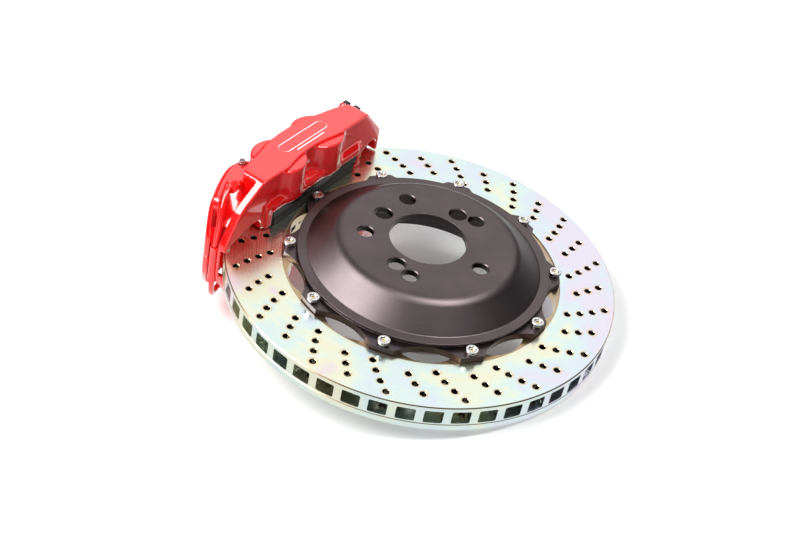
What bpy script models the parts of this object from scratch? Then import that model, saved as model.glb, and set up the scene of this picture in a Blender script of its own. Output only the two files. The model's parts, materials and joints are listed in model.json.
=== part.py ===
"""Drilled two-piece brake disc held in a four-piston fixed caliper, resting on a table.

Everything is modelled in the disc's own frame: +Z is the disc axis, z = 0 is the wheel-side
friction face, and the caliper lies towards -X. One parent empty then leans the whole set, so
that the caliper and the far rim of the disc both touch the table at z = 0.
"""

import math

import bmesh
import bpy
from mathutils import Matrix, Vector

MM = 0.001
GAP = 0.3

# Friction ring
DISC_RADIUS = 190.0
DISC_THICK = 28.0
FACE_INNER = 135.2
WHEEL_PLATE = 4.5
HUB_PLATE = 9.3
VANES = 48
VENT_WIDTH = 5.2
VENT_LEAN = 7.0
DRILL_PERIODS = 16
DRILL_RADIUS = 3.2
DRILL_STEP = 11.1
DRILL_TWIST = 2.45
DRILL_ROWS = ((4, 146.8, 16.75), (3, 152.4, 7.2))
EAR_TOP = -1.0
EAR_BOTTOM = -9.0
EAR_INNER = 122.0
EAR_SCALLOP = (100.0, 34.0)

# Hat
HAT_TOP = 33.2
HAT_PLATE = 7.0
BORE_RADIUS = 37.5
RIM_TOP = 11.5
FLANGE_TOP = 6.0
FLANGE_BOTTOM = EAR_TOP + GAP
FLANGE_RADIUS = 134.5
FLANGE_SCALLOP = (172.7, 51.7)
LUG_CIRCLE = 60.0
LUG_RADIUS = 7.75
DRUM_RADIUS = 92.5
DRUM_BOTTOM = -25.0
SPARE_CIRCLE = 52.5
SPARE_RADIUS = 8.65

# Bolts that hold the ring to the hat
BOLT_COUNT = 10
BOLT_CIRCLE = 129.5
BOLT_SHANK = 3.0
BOLT_STEM = 4.2
BOLT_HEAD = 6.0
BOLT_HOLE = BOLT_SHANK + GAP
NUT_RADIUS = 5.4

# Caliper: s runs along the body, rho outwards from the disc axis
MIDDLE = -DISC_THICK / 2
CALIPER_TOP = 60.0
BODY_INNER = 141.0
BODY_OUTER = 209.0
LEDGE = 40.0
SADDLE_RADIUS = 190.0
SADDLE_S = (-58.0, 38.0)
SADDLE_RISE = ((42, 194.5), (55, 196.5), (66, 198.5), (70, 203), (70.5, 240))
FACE_EDGE = (
    (-93.5, 160), (-92, 163.5), (-86, 168), (-70, 173), (-45, 178), (-20, 182), (0, 182.6),
    (18, 181), (41, 176), (60, 172), (72, 169), (79, 166),
)
SLOT_RADIUS = 193.5
SLOT_CEILING = 1.8
WINDOW = (-75.2, 62.4)
WINDOW_TOP = 19.0
BOSS_S = 30.4
BOSS_RHO = 161.0
BOSS_RADIUS = 27.6
BOSS_DROP = 3.0
PISTON_RADIUS = 19.5
PISTON_TOP = 42.0
BOOT_RADIUS = 23.5
BRIDGE_CIRCLE = 201.5
BRIDGE_S = (71.0, 87.0, -88.0, -106.0)
BRIDGE_SHANK = 4.0
BRIDGE_TOP = 12.0
BRIDGE_SEAT = 30.0
PIN_CIRCLE = 196.5
PIN_S = (48.0, -67.0)
PIN_RADIUS = 3.0

# Mounting lugs under the hub-side half
LUG_S = (-90.0, 85.0)
LUG_HALF = 9.0
LUG_FACE = 118.0

# Bleeders, in (s, rho, z), and the direction (s, z) in which they leave the body
BLEEDERS = ((-101.5, 176.5, 46.8), (-100.8, 163.5, 47.6))
BLEEDER_SLOPE = (-0.76, 0.65)

# Pads
PAD_GAP = 0.5
LINING_THICK = 9.5
PLATE_THICK = 6.5
PAD_INNER = 137.0
PAD_OUTER = 188.0
PAD_ENDS = (WINDOW[0] + 0.6, WINDOW[1] - 0.6)

# Transfer pipe, in (s, rho, z), from the wheel-side union to the hub-side one
PIPE_RADIUS = 2.8
PIPE_PATH = (
    (92.0, 168.0, 46.0), (97.0, 168.0, 45.2), (104.0, 165.0, 40.5), (110.5, 161.8, 33.5),
    (116.5, 158.6, 24.0), (121.5, 156.2, 12.5), (124.0, 155.2, 5.0), (124.5, 155.0, 1.5),
    (124.5, 155.0, -41.5), (124.0, 155.3, -48.0), (121.0, 157.0, -58.0),
    (115.5, 160.0, -66.5), (108.0, 163.5, -72.0), (100.0, 166.8, -74.0), (92.0, 168.0, -74.0),
)
SLEEVE = (124.5, 155.0, -20.0)
SLEEVE_RADIUS = 4.6
SLEEVE_HALF = 21.0

# Resting attitude: the hub-side lugs and the far rim of the disc touch the table
LEAN = math.atan2(CALIPER_TOP, DISC_RADIUS + BOSS_RHO - BOSS_RADIUS)

RED = (0.62, 0.006, 0.008)
BLACK = (0.012, 0.012, 0.013)
STEEL = (0.62, 0.61, 0.60)
ZINC = (0.66, 0.74, 0.71)
BROWN = (0.105, 0.085, 0.088)


def at(s, rho, z):
    """A point given along the caliper, out from the disc axis and up it."""
    return Vector((-rho, -s, z))


def turned(radius, degrees, z=0.0):
    angle = math.radians(degrees)
    return Vector((radius * math.cos(angle), radius * math.sin(angle), z))


def clear_scene():
    for old in list(bpy.data.objects):
        bpy.data.objects.remove(old, do_unlink=True)


def collection():
    made = bpy.data.collections.new("brake_caliper_with_disc")
    bpy.context.scene.collection.children.link(made)
    return made


def mesh_of(graph):
    """Turns a bmesh drawn in millimetres into a mesh in metres."""
    bmesh.ops.recalc_face_normals(graph, faces=graph.faces)
    graph.transform(Matrix.Scale(MM, 4))
    mesh = bpy.data.meshes.new("shape")
    graph.to_mesh(mesh)
    graph.free()
    return mesh


def extruded(*outlines, along):
    """One closed prism for each outline, drawn out by the vector along."""
    graph = bmesh.new()
    for outline in outlines:
        base = graph.faces.new([graph.verts.new(point) for point in outline])
        grown = bmesh.ops.extrude_face_region(graph, geom=[base])["geom"]
        moved = [item for item in grown if isinstance(item, bmesh.types.BMVert)]
        bmesh.ops.translate(graph, verts=moved, vec=along)
    return mesh_of(graph)


def upright(outline, low, high):
    """A prism standing along Z, from a plan outline."""
    return extruded([(p[0], p[1], low) for p in outline], along=Vector((0, 0, high - low)))


def across(profile, near, far):
    """A prism whose (s, z) profile is drawn out from one rho to another."""
    outline = [at(s, near, z) for s, z in profile]
    return extruded(outline, along=at(0, far - near, 0))


def lengthwise(profile, start, end):
    """A prism whose (rho, z) profile is drawn out along the caliper."""
    outline = [at(start, rho, z) for rho, z in profile]
    return extruded(outline, along=at(end - start, 0, 0))


def circle(radius, count, centre=(0.0, 0.0), phase=0.0):
    middle = Vector((centre[0], centre[1], 0))
    return [middle + turned(radius, phase + 360 * i / count) for i in range(count)]


def cylinder(radius, low, high, count, centre=(0.0, 0.0), phase=0.0):
    return upright(circle(radius, count, centre, phase), low, high)


def cylinders(radius, low, high, count, centres, phase=0.0):
    outlines = []
    for centre in centres:
        ring = circle(radius, count, centre, phase)
        outlines.append([(point[0], point[1], low) for point in ring])
    return extruded(*outlines, along=Vector((0, 0, high - low)))


def revolved(profile, steps):
    """A closed (radius, z) profile turned about Z by a Screw modifier."""
    graph = bmesh.new()
    points = [graph.verts.new((radius, 0, z)) for radius, z in profile]
    for i, point in enumerate(points):
        graph.edges.new((point, points[(i + 1) % len(points)]))
    graph.transform(Matrix.Scale(MM, 4))
    mesh = bpy.data.meshes.new("profile")
    graph.to_mesh(mesh)
    graph.free()
    maker = bpy.data.objects.new("profile", mesh)
    bpy.context.scene.collection.objects.link(maker)
    screw = maker.modifiers.new("turn", "SCREW")
    screw.steps = screw.render_steps = steps
    screw.use_merge_vertices = True
    screw.merge_threshold = 0.00001
    turned_mesh = baked(maker)
    graph = bmesh.new()
    graph.from_mesh(turned_mesh)
    bmesh.ops.recalc_face_normals(graph, faces=graph.faces)
    graph.to_mesh(turned_mesh)
    graph.free()
    return turned_mesh


def baked(maker):
    """The mesh an object evaluates to. The object itself is removed."""
    bpy.context.view_layer.update()
    seen = maker.evaluated_get(bpy.context.evaluated_depsgraph_get())
    mesh = bpy.data.meshes.new_from_object(seen)
    bpy.data.objects.remove(maker)
    return mesh


def combined(mesh, operation, others):
    """A mesh after one exact Boolean with each of the others."""
    scene = bpy.context.scene.collection
    maker = bpy.data.objects.new("shape", mesh)
    scene.objects.link(maker)
    tools = []
    for other in others:
        tool = bpy.data.objects.new("tool", other)
        scene.objects.link(tool)
        tools.append(tool)
        step = maker.modifiers.new("step", "BOOLEAN")
        step.solver = "EXACT"
        step.operation = operation
        step.object = tool
    result = baked(maker)
    for tool in tools:
        bpy.data.objects.remove(tool)
    return result


def cut(mesh, *tools):
    return combined(mesh, "DIFFERENCE", tools)


def joined(mesh, *others):
    return combined(mesh, "UNION", others)


def shared(mesh, *others):
    return combined(mesh, "INTERSECT", others)


def flipped(mesh):
    """The mesh mirrored in the middle plane of the disc."""
    graph = bmesh.new()
    graph.from_mesh(mesh)
    mirror = Matrix.Translation((0, 0, 2 * MIDDLE * MM)) @ Matrix.Diagonal((1, 1, -1, 1))
    bmesh.ops.transform(graph, matrix=mirror, verts=graph.verts)
    bmesh.ops.reverse_faces(graph, faces=graph.faces)
    graph.to_mesh(mesh)
    graph.free()
    return mesh


def empty(name, parent, where=(0, 0, 0)):
    made = bpy.data.objects.new(name, None)
    made.empty_display_size = 0.02
    bpy.context.scene.collection.objects.link(made)
    made.parent = parent
    made.location = Vector(where) * MM
    return made


def finish(name, colour, metallic, roughness, coat=0.0):
    made = bpy.data.materials.new(name)
    made.use_nodes = True
    shader = made.node_tree.nodes["Principled BSDF"]
    shader.inputs["Base Color"].default_value = (*colour, 1)
    shader.inputs["Metallic"].default_value = metallic
    shader.inputs["Roughness"].default_value = roughness
    shader.inputs["Coat Weight"].default_value = coat
    made.diffuse_color = (*colour, 1)
    return made


class Workshop:
    """Adds named, painted pieces to the object's collection."""

    def __init__(self, home):
        self.home = home

    def add(self, name, mesh, parent, paint, where=(0, 0, 0)):
        mesh.name = name
        mesh.materials.clear()
        mesh.materials.append(finish(name + "_finish", *paint))
        mesh.shade_smooth()
        mesh.set_sharp_from_angle(angle=math.radians(32))
        made = bpy.data.objects.new(name, mesh)
        self.home.objects.link(made)
        made.parent = parent
        made.location = Vector(where) * MM
        return made


def ring_blank():
    edge = 0.8
    low = -DISC_THICK
    return revolved(
        (
            (FACE_INNER, 0), (FACE_INNER, low), (DISC_RADIUS - edge, low),
            (DISC_RADIUS, low + edge), (DISC_RADIUS, -edge), (DISC_RADIUS - edge, 0),
        ),
        72,
    )


def vent_channels():
    """Leaning channels between the vanes, as one tool."""
    outlines = []
    half = VENT_WIDTH / 2
    for i in range(VANES):
        start = 360 / VANES * i
        left = [
            turned(DISC_RADIUS + 6, start - half, -WHEEL_PLATE),
            turned(163, start + VENT_LEAN * 0.45 - half, -WHEEL_PLATE),
            turned(FACE_INNER - 4, start + VENT_LEAN - half * 0.88, -WHEEL_PLATE),
        ]
        right = [
            turned(FACE_INNER - 4, start + VENT_LEAN + half * 0.88, -WHEEL_PLATE),
            turned(163, start + VENT_LEAN * 0.45 + half, -WHEEL_PLATE),
            turned(DISC_RADIUS + 6, start + half, -WHEEL_PLATE),
        ]
        outlines.append(left + right)
    depth = DISC_THICK - WHEEL_PLATE - HUB_PLATE
    return extruded(*outlines, along=Vector((0, 0, -depth)))


def drill_centres():
    centres = []
    for period in range(DRILL_PERIODS):
        for count, radius, degrees in DRILL_ROWS:
            start = degrees + 360 / DRILL_PERIODS * period
            for i in range(count):
                centres.append(turned(radius + DRILL_STEP * i, start + DRILL_TWIST * i))
    return centres


def bolt_centres():
    return [turned(BOLT_CIRCLE, 360 / BOLT_COUNT * i) for i in range(BOLT_COUNT)]


def between_bolts(radius):
    half = 180 / BOLT_COUNT
    return [turned(radius, half + 2 * half * i) for i in range(BOLT_COUNT)]


def ring_ears():
    """The inner ears that the bolts pass through, one scalloped band."""
    band = revolved(
        (
            (EAR_INNER, EAR_TOP), (EAR_INNER, EAR_BOTTOM),
            (FACE_INNER + 1, EAR_BOTTOM), (FACE_INNER + 1, EAR_TOP),
        ),
        48,
    )
    centre, radius = EAR_SCALLOP
    spots = between_bolts(centre)
    odd = cylinders(radius, EAR_BOTTOM - 2, EAR_TOP + 2, 28, spots[::2], 3)
    even = cylinders(radius, EAR_BOTTOM - 2, EAR_TOP + 2, 28, spots[1::2], 3)
    holes = cylinders(BOLT_HOLE, EAR_BOTTOM - 2, EAR_TOP + 2, 10, bolt_centres(), 7)
    return cut(band, odd, even, holes)


def disc_ring(shop, parent):
    drills = cylinders(DRILL_RADIUS, -DISC_THICK - 2, 2, 6, drill_centres())
    ring = cut(ring_blank(), vent_channels(), drills)
    shop.add("disc_ring", joined(ring, ring_ears()), parent, (ZINC, 1.0, 0.24))


def hat_blank():
    inner = HAT_TOP - HAT_PLATE
    return revolved(
        (
            (BORE_RADIUS, HAT_TOP), (BORE_RADIUS, inner), (79.0, inner), (DRUM_RADIUS, 16.0),
            (DRUM_RADIUS, DRUM_BOTTOM), (DRUM_RADIUS + 6, DRUM_BOTTOM), (DRUM_RADIUS + 6, 4.0),
            (105.0, FLANGE_BOTTOM), (FLANGE_RADIUS, FLANGE_BOTTOM),
            (FLANGE_RADIUS, FLANGE_TOP), (119.5, FLANGE_TOP), (120.5, RIM_TOP - 1.5),
            (122.5, RIM_TOP - 1.0), (122.0, RIM_TOP), (115.0, RIM_TOP), (110.5, 12.2),
            (89.5, 29.8), (87.0, 32.2), (84.0, HAT_TOP),
        ),
        54,
    )


def hat(shop, parent):
    centre, radius = FLANGE_SCALLOP
    scallops = cylinders(radius, FLANGE_BOTTOM - 2, FLANGE_TOP + 1.5, 32, between_bolts(centre), 2)
    bolts = cylinders(BOLT_HOLE, FLANGE_BOTTOM - 2, FLANGE_TOP + 2, 10, bolt_centres(), 7)
    lugs = [turned(LUG_CIRCLE, 72 * i) for i in range(5)]
    spares = [turned(SPARE_CIRCLE, 90 * i) for i in (1, 2, 3)]
    low = HAT_TOP - HAT_PLATE - 2
    shape = cut(
        hat_blank(),
        scallops,
        bolts,
        cylinders(LUG_RADIUS, low, HAT_TOP + 2, 16, lugs, 5),
        cylinders(SPARE_RADIUS, low, HAT_TOP + 2, 16, spares, 5),
    )
    shop.add("hat", shape, parent, (BROWN, 0.9, 0.38))


def hat_bolts(shop, parent):
    """Round-headed drive bolts: a shank, a stem standing off the flange and a flat head."""
    for i, centre in enumerate(bolt_centres()):
        tip = EAR_BOTTOM - 8.2
        shape = revolved(
            (
                (0, RIM_TOP - 1.4), (2.4, RIM_TOP), (BOLT_HEAD, RIM_TOP),
                (BOLT_HEAD, RIM_TOP - 2.4), (BOLT_STEM, RIM_TOP - 2.4),
                (BOLT_STEM, FLANGE_TOP + GAP), (BOLT_SHANK, FLANGE_TOP + GAP),
                (BOLT_SHANK, tip), (0, tip),
            ),
            10,
        )
        shop.add(f"hat_bolt_{i + 1:02d}", shape, parent, (STEEL, 1.0, 0.2), centre)


def hat_nuts(shop, parent):
    for i, centre in enumerate(bolt_centres()):
        top = EAR_BOTTOM - GAP
        shape = cylinder(NUT_RADIUS, top - 6.5, top, 6, phase=360 / BOLT_COUNT * i)
        shape = cut(shape, cylinder(BOLT_HOLE, top - 8, top + 2, 8))
        shop.add(f"hat_nut_{i + 1:02d}", shape, parent, (STEEL, 1.0, 0.3), centre)


def saddle():
    """Trims the outside of the body between the pins, so that the piston bosses stand out."""
    low, high = SADDLE_S
    arc = [polar_point(low + (high - low) * i / 16, SADDLE_RADIUS) for i in range(17)]
    rise = [at(s, rho, 0) for s, rho in SADDLE_RISE]
    return upright([*arc, *rise, at(low - 4, 240, 0)], WINDOW_TOP - 1, CALIPER_TOP + 10)


def body_blank():
    """The caliper half before any pocket: its end profile crossed with its round outside."""
    split = MIDDLE + GAP / 2
    profile = (
        (-120, split), (-120, 27), (-90, CALIPER_TOP), (75, CALIPER_TOP),
        (107, 40), (125, 12), (128, 2), (128, split),
    )
    outside = revolved(
        (
            (118, split - 5), (BODY_OUTER, split - 5), (BODY_OUTER, LEDGE - 8),
            (207.5, LEDGE - 3), (204, LEDGE), (192, LEDGE + 1), (192, 70), (118, 70),
        ),
        84,
    )
    chord = 146.5
    block = across(profile, BODY_INNER, BODY_OUTER + 4)
    block = shared(block, outside)
    beyond = [at(s, rho, 0) for s, rho in ((-130, 160), *FACE_EDGE, (95, 160), (95, 240), (-130, 240))]
    return cut(
        block,
        upright(beyond, LEDGE, CALIPER_TOP + 4),
        saddle(),
        cylinder(chord, WINDOW_TOP - 40, CALIPER_TOP + 2, 96),
    )


def body_additions(boss_top):
    """The piston bosses, the lip under them and the two blocks the pads push against."""
    bosses = []
    for s in (-BOSS_S, BOSS_S):
        place = Matrix.Translation(at(s, BOSS_RHO, 0) * MM)
        boss = revolved(
            (
                (0, WINDOW_TOP - 2), (BOSS_RADIUS, WINDOW_TOP - 2), (BOSS_RADIUS, boss_top - 2),
                (BOSS_RADIUS - 0.6, boss_top - 0.6), (BOSS_RADIUS - 2, boss_top), (0, boss_top),
            ),
            40,
        )
        boss.transform(place)
        bosses.append(boss)
    lip = lengthwise(
        ((135.5, 18), (135.5, 25.5), (139, 28.5), (148, 30), (158, 30), (158, 18)), *WINDOW
    )
    blocks = []
    for start, end in ((WINDOW[0] - 8, WINDOW[0] + 1), (WINDOW[1] - 1, WINDOW[1] + 9)):
        outline = ((PAD_INNER, SLOT_CEILING), (PAD_INNER, 26), (142, 31), (152, 31))
        blocks.append(lengthwise((*outline, (152, SLOT_CEILING)), start, end))
    return (*bosses, lip, *blocks)


def body_pockets():
    """The pad window, the slot the disc runs in, the arches over it and the piston bores."""
    low = MIDDLE - 10
    window = across(
        ((WINDOW[0], low), (WINDOW[0], WINDOW_TOP), (WINDOW[1], WINDOW_TOP), (WINDOW[1], low)),
        120,
        230,
    )
    slot = cylinder(SLOT_RADIUS, low, SLOT_CEILING, 96)
    right_arch = across(
        (
            (WINDOW[0] - 8.5, 0), (WINDOW[0] - 9, 7), (-92, 14), (-101, 18.5),
            (-109, 19.5), (-114, 17), (-116, 11), (-116, 0),
        ),
        120,
        186,
    )
    left_arch = across(((73, 0), (76, 13), (82, 17), (90, 16), (121, 6), (121, 0)), 120, 186)
    centres = [at(s, BOSS_RHO, 0) for s in (-BOSS_S, BOSS_S)]
    bores = cylinders(PISTON_RADIUS + GAP, 10, PISTON_TOP + 5, 24, centres)
    boots = cylinders(BOOT_RADIUS + GAP, 10, WINDOW_TOP + 4, 24, centres)
    return window, slot, right_arch, left_arch, bores, boots


def polar_point(s, radius):
    return at(s, math.sqrt(radius * radius - s * s), 0)


def body_holes(bolt_depth):
    """Holes for the bridge bolts and the pad pins."""
    bolts = [polar_point(s, BRIDGE_CIRCLE) for s in BRIDGE_S]
    pins = [polar_point(s, PIN_CIRCLE) for s in PIN_S]
    return (
        cylinders(BRIDGE_SHANK + GAP, MIDDLE - 10, bolt_depth, 12, bolts),
        cylinders(PIN_RADIUS + GAP, 10, CALIPER_TOP + 10, 12, pins),
    )


def pipe_recess():
    """The channel down the end of the body that the transfer pipe runs in."""
    channel = across(
        (
            (79, 75), (79, 37), (95, 24), (108, 10), (117, 0), (117, MIDDLE - 5),
            (140, MIDDLE - 5), (140, 75),
        ),
        150,
        230,
    )
    shallow = shared(channel, cylinder(199.0, MIDDLE - 10, 80, 96))
    notch = across(
        (
            (111, 75), (111, 12), (117, 2), (117, MIDDLE - 5), (140, MIDDLE - 5), (140, 75),
        ),
        150,
        230,
    )
    deep = shared(notch, cylinder(204.0, MIDDLE - 10, 80, 96))
    return shallow, deep


def mounting_lugs():
    """Two solid lugs on the hub side only, with flat inner ends, cut off level with the table."""
    near, far = math.tan(LEAN) * (DISC_RADIUS + LUG_FACE), math.tan(LEAN) * (DISC_RADIUS + 138)
    profile = ((LUG_FACE, 26), (LUG_FACE, near), (138, far), (148, 50), (148, 26))
    return [lengthwise(profile, s - LUG_HALF, s + LUG_HALF) for s in LUG_S]


def bolt_seats():
    """Flat seats for the bolt heads, open to the outside."""
    bolts = [polar_point(s, BRIDGE_CIRCLE) for s in BRIDGE_S]
    return [cylinder(8.2, BRIDGE_SEAT, CALIPER_TOP + 5, 16, bolt) for bolt in bolts]


def bleeder_shape(place, radius, low, high, count):
    """A cylinder along one bleeder's axis, which leaves the sloped end of the body at a right angle."""
    slope = at(BLEEDER_SLOPE[0], 0, BLEEDER_SLOPE[1])
    turn = slope.to_track_quat("Z", "Y").to_matrix().to_4x4()
    mesh = cylinder(radius, low, high, count)
    mesh.transform(Matrix.Translation(at(*place) * MM) @ turn)
    return mesh


def bleeder_bosses():
    return [bleeder_shape(place, 6.0, -14, 0, 16) for place in BLEEDERS]


def bleeder_seats():
    """The two threaded holes at the far end of the wheel-side half."""
    return [bleeder_shape(place, 2.6 + GAP, -12, 4, 12) for place in BLEEDERS]


def caliper_halves(shop, parent):
    wheel = joined(body_blank(), *body_additions(CALIPER_TOP - BOSS_DROP), *bleeder_bosses())
    holes = body_holes(BRIDGE_TOP + 2)
    wheel = cut(wheel, *body_pockets(), *holes, *pipe_recess(), *bleeder_seats())
    shop.add("caliper_half_wheel_side", wheel, parent, (RED, 0.0, 0.16, 1.0))
    hub = joined(body_blank(), *body_additions(CALIPER_TOP - 0.4), *mounting_lugs())
    holes = body_holes(BRIDGE_SEAT + 2)
    hub = cut(hub, *body_pockets(), *holes, *pipe_recess(), *bolt_seats())
    shop.add("caliper_half_hub_side", flipped(hub), parent, (RED, 0.0, 0.16, 1.0))


def bridge_bolts(shop, parent):
    """Cap screws that hold the halves together, their heads in the hub-side half."""
    for i, s in enumerate(BRIDGE_S):
        seat = 2 * MIDDLE - BRIDGE_SEAT
        shape = revolved(
            (
                (0, BRIDGE_TOP), (BRIDGE_SHANK - 0.6, BRIDGE_TOP),
                (BRIDGE_SHANK, BRIDGE_TOP - 0.6), (BRIDGE_SHANK, seat - GAP),
                (6.5, seat - GAP), (6.5, seat - 7.4), (5.8, seat - 8),
                (3.3, seat - 8), (3.3, seat - 4), (0, seat - 4),
            ),
            12,
        )
        place = polar_point(s, BRIDGE_CIRCLE)
        shop.add(f"bridge_bolt_{i + 1}", shape, parent, (STEEL, 1.0, 0.32), place)


def pad_pins(shop, parent):
    for i, s in enumerate(PIN_S):
        top = LEDGE + 4
        low = 2 * MIDDLE - top
        shape = revolved(
            (
                (0, top - 1.2), (1.7, top - 1.2), (1.9, top), (PIN_RADIUS - 0.5, top),
                (PIN_RADIUS, top - 0.5), (PIN_RADIUS, low + 0.5), (PIN_RADIUS - 0.5, low),
                (0, low),
            ),
            12,
        )
        shop.add(f"pad_pin_{i + 1}", shape, parent, (STEEL, 1.0, 0.3), polar_point(s, PIN_CIRCLE))


def pad_outline(outer, inset):
    start, end = PAD_ENDS[0] + inset, PAD_ENDS[1] - inset
    points = [at(end, PAD_INNER, 0), at(start, PAD_INNER, 0)]
    for i in range(17):
        s = start + (end - start) * i / 16
        points.append(at(s, math.sqrt(outer * outer - s * s), 0))
    return points


def pad_plate_mesh():
    """The steel back plate, with two ears that hang from the pins."""
    low = PAD_GAP + LINING_THICK + GAP
    high = low + PLATE_THICK
    plate = upright(pad_outline(PAD_OUTER, 0.0), low, high)
    ears = []
    for s, inwards in zip(PIN_S, (-1, 1)):
        middle = polar_point(s, PIN_CIRCLE)
        edge = min(abs(PAD_ENDS[0 if s < 0 else 1] - s) - 0.2, 8.0)
        out = middle.normalized()
        side = Vector((-out.y, out.x, 0))
        corners = [
            middle + out * 6.0 - side * edge * 0.8, middle + out * 6.0 + side * edge * 0.8,
            middle - out * 12.0 + side * edge * 0.8, middle - out * 12.0 - side * edge * 0.8,
        ]
        ears.append(upright(corners, low, high))
    holes = cylinders(
        PIN_RADIUS + 0.6, low - 2, high + 2, 12, [polar_point(s, PIN_CIRCLE) for s in PIN_S]
    )
    return cut(joined(plate, *ears), holes)


def pads(shop, wheel_slide, hub_slide):
    for name, slide, turn in (("wheel", wheel_slide, False), ("hub", hub_slide, True)):
        plate = pad_plate_mesh()
        lining = upright(pad_outline(PAD_OUTER - 1.5, 3.0), PAD_GAP, PAD_GAP + LINING_THICK)
        if turn:
            plate, lining = flipped(plate), flipped(lining)
        shop.add(f"pad_plate_{name}_side", plate, slide, (BLACK, 0.3, 0.42))
        shop.add(f"pad_lining_{name}_side", lining, slide, ((0.03, 0.03, 0.03), 0.0, 0.85))


def piston_mesh():
    front = PAD_GAP + LINING_THICK + PLATE_THICK + 2 * GAP
    return revolved(
        (
            (0, front + 14), (PISTON_RADIUS - 4.5, front + 14), (PISTON_RADIUS - 4, front),
            (PISTON_RADIUS - 0.6, front), (PISTON_RADIUS, front + 0.6),
            (PISTON_RADIUS, PISTON_TOP - 0.6), (PISTON_RADIUS - 0.6, PISTON_TOP),
            (0, PISTON_TOP),
        ),
        20,
    )


def boot_mesh():
    low = WINDOW_TOP - 0.6
    return revolved(
        (
            (PISTON_RADIUS + GAP, low), (BOOT_RADIUS - 1.2, low), (BOOT_RADIUS, low + 1.2),
            (BOOT_RADIUS, WINDOW_TOP + 3.7), (PISTON_RADIUS + GAP, WINDOW_TOP + 3.7),
        ),
        20,
    )


def pistons(shop, parent, slides):
    for side in ("wheel", "hub"):
        for i, s in enumerate((-BOSS_S, BOSS_S)):
            piston, boot = piston_mesh(), boot_mesh()
            if side == "hub":
                piston, boot = flipped(piston), flipped(boot)
            place = at(s, BOSS_RHO, 0)
            name = f"{side}_side_{i + 1}"
            shop.add("piston_" + name, piston, slides[name], (STEEL, 1.0, 0.25))
            shop.add("dust_boot_" + name, boot, parent, (BLACK, 0.0, 0.6), place)


def transfer_pipe(shop, parent):
    """The pipe that joins the fluid passages of the two halves."""
    curve = bpy.data.curves.new("pipe", "CURVE")
    curve.dimensions = "3D"
    spline = curve.splines.new("POLY")
    points = [at(*point) for point in PIPE_PATH]
    spline.points.add(len(points) - 1)
    for slot, point in zip(spline.points, points):
        slot.co = (*(point * MM), 1)
    curve.bevel_depth = PIPE_RADIUS * MM
    curve.bevel_resolution = 2
    curve.use_fill_caps = True
    maker = bpy.data.objects.new("pipe", curve)
    bpy.context.scene.collection.objects.link(maker)
    mesh = baked(maker)
    graph = bmesh.new()
    graph.from_mesh(mesh)
    bmesh.ops.remove_doubles(graph, verts=graph.verts, dist=0.00001)
    bmesh.ops.recalc_face_normals(graph, faces=graph.faces)
    graph.to_mesh(mesh)
    graph.free()
    shop.add("transfer_pipe", mesh, parent, (RED, 0.0, 0.2, 1.0))


def pipe_sleeve(shop, parent):
    inner = PIPE_RADIUS + GAP
    shape = revolved(
        (
            (inner, SLEEVE_HALF), (inner, -SLEEVE_HALF), (SLEEVE_RADIUS - 0.4, -SLEEVE_HALF),
            (SLEEVE_RADIUS, 0.4 - SLEEVE_HALF), (SLEEVE_RADIUS, SLEEVE_HALF - 0.4),
            (SLEEVE_RADIUS - 0.4, SLEEVE_HALF),
        ),
        16,
    )
    shop.add("pipe_sleeve", shape, parent, (RED, 0.0, 0.25, 1.0), at(*SLEEVE))


def pipe_nuts(shop, parent):
    """Hexagon unions at the two ends of the pipe, bored for it."""
    for side, place in (("wheel", at(*PIPE_PATH[0])), ("hub", at(*PIPE_PATH[-1]))):
        turn = Matrix.Rotation(math.radians(90), 4, "X")
        shape = joined(cylinder(5.6, -7.0, 1.5, 6), cylinder(4.4, -12.0, -6.0, 12))
        shape = cut(shape, cylinder(PIPE_RADIUS + GAP, -1.5, 4.0, 12))
        shape.transform(turn)
        name = f"pipe_nut_{side}_side"
        shop.add(name, shape, parent, (RED, 0.0, 0.25, 1.0), place)


def bleeders(shop, parent):
    """Bleed screws, each under a rubber cap."""
    for i, place in enumerate(BLEEDERS):
        screw = bleeder_shape(place, 2.6, -10, 2.6, 12)
        shop.add(f"bleeder_screw_{i + 1}", screw, parent, (STEEL, 1.0, 0.3))
        cap = cut(
            joined(bleeder_shape(place, 4.6, 0.9, 3, 16), bleeder_shape(place, 3.6, 2, 4.6, 12)),
            bleeder_shape(place, 2.6 + GAP, -1, 2.6 + GAP, 12),
        )
        shop.add(f"bleeder_cap_{i + 1}", cap, parent, (BLACK, 0.0, 0.5))


def spring_profile():
    """The bent spring seen along the disc axis, as a strip of even thickness."""
    ends = (PIN_S[0] - 1.0, PIN_S[1] + 1.0)
    under = [191.6, 191.4, 194.5, 199.0, 201.0, 199.0, 194.5, 191.4, 191.6]
    lower, upper = [], []
    for i, radius in enumerate(under):
        s = ends[0] + (ends[1] - ends[0]) * i / (len(under) - 1)
        lower.append(polar_point(s, radius))
        upper.append(polar_point(s, radius + 0.9))
    return lower + upper[::-1]


def pad_spring(shop, parent):
    shape = upright(spring_profile(), MIDDLE - 20, MIDDLE + 20)
    shop.add("pad_spring", shape, parent, (STEEL, 1.0, 0.3))


def settle(root):
    """Leans the set, then moves it so that its box stands on the origin."""
    root.rotation_euler = (0, LEAN, 0)
    bpy.context.view_layer.update()
    corners = []
    for made in bpy.context.scene.objects:
        if made.type == "MESH":
            corners.extend(made.matrix_world @ v.co for v in made.data.vertices)
    low = [min(corner[i] for corner in corners) for i in range(3)]
    high = [max(corner[i] for corner in corners) for i in range(3)]
    root.location = (-(low[0] + high[0]) / 2, -(low[1] + high[1]) / 2, -low[2])
    bpy.context.view_layer.update()


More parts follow.
